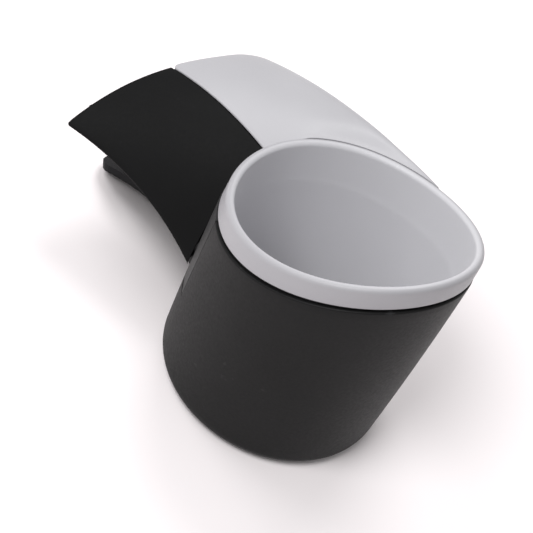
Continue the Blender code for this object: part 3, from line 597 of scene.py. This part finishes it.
def along(line, x):
    """Value of a line along the arm, in metres."""
    u = -x / R - 1.0
    return R * sum(factor * u ** power for power, factor in enumerate(line))


def far_y(x):
    """Far edge of the arm, which runs up beside the cup without passing it."""
    free = along(FAR_Y, x)
    soft = 0.02 * R
    return 0.5 * (free + FAR_Y_MAX - math.sqrt((free - FAR_Y_MAX) ** 2 + soft ** 2))


def meet_rim(x, y, z):
    """Bring the surface down to the rim where it would stand above it."""
    lift = z - (rim_z(math.atan2(y, x)) - RIM_REST)
    soft = 0.3 * MM
    lift = 0.5 * (lift + math.sqrt(lift * lift + soft * soft))
    reach = (math.hypot(x, y) - R) / RIM_FADE
    return z - lift * math.exp(-reach * reach)


def near_drop(x, share):
    crest = along(CREST_Z, x)
    return RIM_Z + crest - (crest - along(NEAR_Z, x)) * share ** NEAR_POWER


def far_drop(x, level):
    """Height on the far side; level runs from 1 on the flat top to 0 at the foot of the flank."""
    foot = along(FAR_Z, x)
    return RIM_Z + foot + (along(CREST_Z, x) - foot) * level


def arm_z(x, y):
    crest = along(CREST_Y, x)
    if y <= crest:
        share = min(1.0, (crest - y) / (crest - along(NEAR_Y, x)))
        return meet_rim(x, y, near_drop(x, share))
    share = min(1.0, (y - crest) / (far_y(x) - crest))
    return meet_rim(x, y, far_drop(x, (1.0 - share ** FAR_POWER) ** (1.0 / FAR_POWER)))


def arm_place(x, s):
    """Point on the arm: s = -1 at the near edge, 0 on the crest, 0.5 where the far side rolls, 1 below."""
    crest = along(CREST_Y, x)
    if s <= 0.0:
        y = crest + (crest - along(NEAR_Y, x)) * s
        return Vector((x, y, meet_rim(x, y, near_drop(x, -s))))
    width = far_y(x) - crest
    if s <= 0.5:
        y = crest + width * ROLL_SHARE * 2.0 * s
        return Vector((x, y, arm_z(x, y)))
    start = math.asin(ROLL_SHARE ** (0.5 * FAR_POWER))
    left = 2.0 - 2.0 * min(s, 1.0)
    angle = start + (0.5 * math.pi - start) * (1.0 - left * left)
    y = crest + width * math.sin(angle) ** (2.0 / FAR_POWER)
    level = max(0.0, math.cos(angle)) ** (2.0 / FAR_POWER)
    return Vector((x, y, meet_rim(x, y, far_drop(x, level))))


def arm_slopes(x, s):
    step_x = 0.2 * MM
    step_s = 0.004
    low, high = max(-1.0, s - step_s), min(1.0, s + step_s)
    slope_x = (arm_place(x + step_x, s) - arm_place(x - step_x, s)) / (2.0 * step_x)
    slope_s = (arm_place(x, high) - arm_place(x, low)) / (high - low)
    return slope_x, slope_s


def arm_normal(x, s):
    slope_x, slope_s = arm_slopes(x, s)
    return slope_x.cross(slope_s).normalized()


def skin_drop(x, y):
    """Vertical thickness of the skin on the near side and the flat top."""
    step = 0.2 * MM
    slope_x = (arm_z(x + step, y) - arm_z(x - step, y)) / (2.0 * step)
    slope_y = (arm_z(x, y + step) - arm_z(x, y - step)) / (2.0 * step)
    return SKIN * math.sqrt(1.0 + slope_x ** 2 + slope_y ** 2)


def arm_tip_x(x, y):
    """Where the tip lies on the line through (x, y)."""
    bow = TIP_BOW * (y - TIP_MIDDLE_Y) ** 2 / R
    near = corner_cut(y - along(NEAR_Y, x), TIP_CORNER_NEAR)
    far = corner_cut(far_y(x) - y, TIP_CORNER_FAR)
    return TIP_X + bow + near + far


def shifted(line, distance):
    """The line across the arm moved sideways along the surface."""
    def moved(x):
        _, slope_s = arm_slopes(x, line(x))
        return line(x) + distance / slope_s.length
    return moved


def between(low, high, share):
    return lambda x: low(x) + (high(x) - low(x)) * share


def hood_near(x):
    return -1.0


def hood_far(x):
    return 1.0


def panel_near(x):
    crest = along(CREST_Y, x)
    return (along(SEAM_Y, x) - crest) / (crest - along(NEAR_Y, x))


def panel_far(x):
    return PANEL_LAST


def arm_spot(line, x, offset):
    s = line(x)
    return arm_place(x, s) + arm_normal(x, s) * offset


def line_ends(line, offset, start_r, trim=None):
    """First and last x of a line: on the circle around the cup, and at the tip."""
    precision = 0.001 * MM
    low, high = -1.4 * R, ARM_START_X
    spot = arm_spot(line, high, offset)
    if math.hypot(spot.x, spot.y) < start_r:
        while high - low > precision:
            middle = 0.5 * (low + high)
            spot = arm_spot(line, middle, offset)
            if math.hypot(spot.x, spot.y) < start_r:
                high = middle
            else:
                low = middle
    last = -2.2 * R
    for _ in range(12):
        place = arm_place(last, line(last))
        last = arm_tip_x(place.x, place.y)
        if trim is not None:
            last += trim(last)
    return high, last


def panel_trim(line):
    """Extra set-back of the panel's tip edge, which rounds its two corners."""
    def trim(x):
        s = line(x)
        _, slope_s = arm_slopes(x, s)
        reach = min(s - panel_near(x), panel_far(x) - s) * slope_s.length
        return 0.3 * MM + corner_cut(max(0.0, reach), PANEL_CORNER)
    return trim


class Row:
    """A line along the arm with the heights of the sheet's two faces and its distance from the border."""

    def __init__(self, line, top, bottom, border=1.0):
        self.line, self.top, self.bottom, self.border = line, top, bottom, border


def border_rows(edge, sign, radius, top, bottom):
    """Rows that follow a border and round it off, from the border inwards."""
    return [Row(shifted(edge, sign * distance), top, bottom, distance) for distance in quarter(radius)]


def arm_sheet(rows, start_r, radius, trims=None):
    """Closed moulded sheet on the arm's surface with rounded borders."""
    stations = [(0.0, distance) for distance in quarter(START_ROUND)]
    stations += [(share, 0.0) for share in (0.012, 0.025, 0.05, 0.08, 0.12)]
    stations += [(share, 0.0) for share in spread(0.16, 0.96, 36)]
    stations += [(1.0, -distance) for distance in reversed(quarter(radius))]

    def surface(heights, inward):
        ends = []
        for k, row in enumerate(rows):
            ends.append(line_ends(row.line, heights[k], start_r, trims[k] if trims else None))

        def point(i, j):
            first, last = ends[i]
            share, shift = stations[j]
            x = first + (last - first) * share - shift
            cut = corner_cut(rows[i].border, radius)
            if share == 0.0:
                cut = max(cut, corner_cut(shift, START_ROUND))
            elif share == 1.0:
                cut = max(cut, corner_cut(-shift, radius))
            return arm_spot(rows[i].line, x, heights[i] + inward * cut)
        return point

    outer = surface([row.top for row in rows], -1.0)
    inner = surface([row.bottom for row in rows], 1.0)
    return sheet(outer, inner, list(range(len(rows))), list(range(len(stations))))


def build_hood():
    """Charcoal upper jaw: the arched skin, let in for the panel, with its end wall, posts and bosses."""
    margin = 0.9 * MM
    rows = border_rows(hood_near, 1.0, EDGE_ROUND, 0.0, -SKIN)
    near, far = shifted(panel_near, -margin), shifted(panel_far, margin)
    rows += [Row(between(hood_near, near, share), 0.0, -SKIN) for share in spread(0.05, 1.0, 22)]
    rows += [Row(shifted(panel_near, -away * MM), drop * MM, -SKIN) for away, drop in GROOVE_LIP]
    low, high = shifted(panel_near, -GAP), shifted(panel_far, GAP)
    rows += [Row(between(low, high, share), -PANEL_RECESS, -SKIN) for share in spread(0.0, 1.0, 40)]
    rows += [Row(shifted(panel_far, away * MM), drop * MM, -SKIN) for away, drop in reversed(GROOVE_LIP)]
    rows += [Row(between(far, hood_far, share), 0.0, -SKIN) for share in (0.0, 0.3, 0.6, 0.85)]
    rows += list(reversed(border_rows(hood_far, -1.0, EDGE_ROUND, 0.0, -SKIN)))
    bm = arm_sheet(rows, ARM_R0, EDGE_ROUND)
    add_body(bm, end_wall())
    for x, y in TRAY_SCREWS:
        add_body(bm, tray_post(x, y))
    for side in (-1, 1):
        for z in SADDLE_SCREW_Z:
            add_body(bm, screw_boss(math.radians(side * SADDLE_SCREW_DEG), z))
    # The hood's darker charcoal is painted shade.
    return make_object("arm_hood_skin", bm, ARM_CHARCOAL_PAINTED_SHADE, "holder", "arm_hood")


def add_body(bm, other):
    """Copy a closed body into the same mesh."""
    copies = {}
    for vert in other.verts:
        copies[vert] = bm.verts.new(vert.co)
    for face in other.faces:
        bm.faces.new([copies[vert] for vert in face.verts])
    other.free()


def end_wall():
    """Wall that closes the hood's end against the saddle plate."""
    def surface(radius):
        def point(angle, share):
            x, y = -radius * math.cos(angle), radius * math.sin(angle)
            top = arm_z(x, y) - POST_BURY * skin_drop(x, y)
            return Vector((x, y, END_WALL_Z0 + (top - END_WALL_Z0) * share))
        return point
    low, high = [math.radians(angle) for angle in END_WALL_DEG]
    back, front = surface(ARM_R0 + END_WALL), surface(ARM_R0 + 0.35 * MM)
    return sheet(back, front, spread(low, high, 40), spread(0.0, 1.0, 6))


def tray_post(x, y):
    """Hollow post from the skin down to the tray."""
    def top(radius):
        def entry(angle):
            px, py = x + radius * math.cos(angle), y + radius * math.sin(angle)
            return radius, arm_z(px, py) - POST_BURY * skin_drop(px, py)
        return entry
    bottom = TRAY_Z0 + TRAY_T + GAP
    profile = [fixed(POST_HOLE_R, bottom), fixed(POST_R, bottom), top(POST_R), top(POST_HOLE_R)]
    bm = revolve(profile, POST_SEGMENTS, closed=True)
    bmesh.ops.translate(bm, verts=bm.verts, vec=(x, y, 0.0))
    return bm


def screw_boss(angle, z):
    """Hollow boss behind the end wall for a saddle screw."""
    direction = Vector((-math.cos(angle), math.sin(angle), 0.0))
    profile = [
        fixed(POST_HOLE_R, 0.0),
        fixed(POST_R, 0.0),
        fixed(POST_R, BOSS_LENGTH),
        fixed(POST_HOLE_R, BOSS_LENGTH),
    ]
    bm = revolve(profile, POST_SEGMENTS, closed=True)
    turn = direction.to_track_quat("Z", "Y").to_matrix().to_4x4()
    place = Matrix.Translation(direction * BOSS_START_R + Vector((0.0, 0.0, z)))
    bmesh.ops.transform(bm, matrix=place @ turn, verts=bm.verts)
    return bm


def build_panel():
    """Light grey panel let into the hood."""
    inset = 4.0 * MM
    top, bottom = PANEL_PROUD, PANEL_BED - PANEL_RECESS
    rows = border_rows(panel_near, 1.0, PANEL_ROUND, top, bottom)
    rows += [Row(shifted(panel_near, away * MM), top, bottom) for away in PANEL_BORDER_ROWS]
    near, far = shifted(panel_near, inset), shifted(panel_far, -inset)
    rows += [Row(between(near, far, share), top, bottom) for share in spread(0.0, 1.0, 52)]
    rows += [Row(shifted(panel_far, -away * MM), top, bottom) for away in reversed(PANEL_BORDER_ROWS)]
    rows += list(reversed(border_rows(panel_far, -1.0, PANEL_ROUND, top, bottom)))
    bm = arm_sheet(rows, PANEL_R0, PANEL_ROUND, [panel_trim(row.line) for row in rows])
    return make_object("arm_panel_skin", bm, GREY, "holder", "arm_top_panel")


# ---------------------------------------------------------------- springs

def spring_path(side):
    """From the cup's leg round the pin, a little further out each turn, to the jaw's leg."""
    start_turn = 0.06
    points = [(x, side * SPRING_START_Y, z) for x, z in CUP_LEG]
    for turn in spread(0.0, SPRING_TURNS, 160):
        angle = 2.0 * math.pi * (start_turn - turn)
        x = HINGE.x + SPRING_R * math.cos(angle)
        z = HINGE.z + SPRING_R * math.sin(angle)
        points.append((x, side * (SPRING_START_Y + SPRING_PITCH * turn), z))
    points += [(x, side * SPRING_END_Y, z) for x, z in JAW_LEG]
    return points


def build_spring(node, side):
    """Wound wire round the pin, from the cup's leg to its outer leg on the jaw."""
    points = spring_path(side)
    curve = bpy.data.curves.new(node + "_path", "CURVE")
    curve.dimensions = "3D"
    curve.bevel_depth = WIRE_R
    curve.bevel_resolution = 3
    curve.use_fill_caps = True
    spline = curve.splines.new("POLY")
    spline.points.add(len(points) - 1)
    for place, point in zip(spline.points, points):
        place.co = (*point, 1.0)
    path = bpy.data.objects.new(node + "_path", curve)
    bpy.context.scene.collection.objects.link(path)
    evaluated = path.evaluated_get(bpy.context.evaluated_depsgraph_get())
    mesh = bpy.data.meshes.new_from_object(evaluated)
    bpy.data.objects.remove(path)
    mesh.shade_smooth()
    mesh.materials.append(SPRING)
    obj = bpy.data.objects.new(node + "_wire", mesh)
    bpy.context.scene.collection.objects.link(obj)
    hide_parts(node)
    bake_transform(obj)
    return obj


# ---------------------------------------------------------------- carried CAD nodes

def dress_cad_nodes():
    """Give each CAD node the look of its material slot, or its own."""
    slots = {
        "charcoal": CHARCOAL,
        "grey": GREY,
        "rubber": RUBBER,
        "steel": STEEL,
        "spring_steel": SPRING,
        "nylon": NYLON,
    }
    own = {
        # paler charcoal on the saddle plate: painted highlight
        "saddle_plate": PLATE_CHARCOAL_PAINTED_HIGHLIGHT,
        # darker charcoal on the lower jaw: painted shade
        "lower_jaw": JAW_CHARCOAL_PAINTED_SHADE,
        "push_nut_near": BLACK_STEEL,
        "push_nut_far": BLACK_STEEL,
        "hinge_pin": BLACK_STEEL,
    }
    for row in frame["record"]["subparts"]:
        materials = NODES[row["node"]].data.materials
        materials.clear()
        materials.append(own.get(row["node"], slots[row["material_slot"]]))


# ---------------------------------------------------------------- stage

def build_floor():
    """Plain pale floor."""
    bm = bmesh.new()
    bmesh.ops.create_grid(bm, x_segments=1, y_segments=1, size=3.0)
    mesh = bpy.data.meshes.new("floor")
    bm.to_mesh(mesh)
    bm.free()
    floor = bpy.data.objects.new("floor", mesh)
    bpy.context.scene.collection.objects.link(floor)
    material, shader = shader_material("floor_paper", 0.9, specular=0.1)
    shader.inputs["Base Color"].default_value = (0.955, 0.905, 0.915, 1.0)
    mesh.materials.append(material)


def add_area(name, location, power):
    """Round softbox aimed at the cup."""
    light = bpy.data.lights.new(name, "AREA")
    light.shape = "DISK"
    light.size = LIGHT_SIZE
    light.energy = power
    obj = bpy.data.objects.new(name, light)
    obj.location = location
    obj.rotation_mode = "QUATERNION"
    obj.rotation_quaternion = (Vector(location) - Vector(LIGHT_TARGET)).to_track_quat("Z", "Y")
    bpy.context.scene.collection.objects.link(obj)


def build_light():
    """Even white surroundings and three softboxes."""
    world = bpy.data.worlds.new("studio")
    bpy.context.scene.world = world
    world.use_nodes = True
    background = world.node_tree.nodes["Background"]
    background.inputs["Color"].default_value = (1.0, 1.0, 1.0, 1.0)
    background.inputs["Strength"].default_value = WORLD_STRENGTH
    for name, location, power in LIGHTS:
        add_area(name, location, power)
    view = bpy.context.scene.view_settings
    view.view_transform = "Standard"
    view.look = "None"


def build_camera():
    """Camera above the cup's right, rolled so that the cup leans in the picture."""
    camera = bpy.data.cameras.new("camera")
    camera.lens = CAMERA_LENS
    camera.sensor_width = 36.0
    camera.clip_end = 20.0
    obj = bpy.data.objects.new("camera", camera)
    right = CAMERA_RIGHT.normalized()
    back = (CAMERA_BACK - right * CAMERA_BACK.dot(right)).normalized()
    up = back.cross(right)
    rotation = Matrix((right, up, back)).transposed().to_4x4()
    place = CAMERA_PLACE * R + Vector((0.0, 0.0, RIM_Z))
    obj.matrix_world = Matrix.Translation(place) @ rotation
    bpy.context.scene.collection.objects.link(obj)
    bpy.context.scene.camera = obj


build_camera()
build_floor()
build_light()
dress_cad_nodes()
build_shell()
build_liner()
build_gasket()
build_hood()
build_panel()
build_spring("torsion_spring_near", -1)
build_spring("torsion_spring_far", 1)
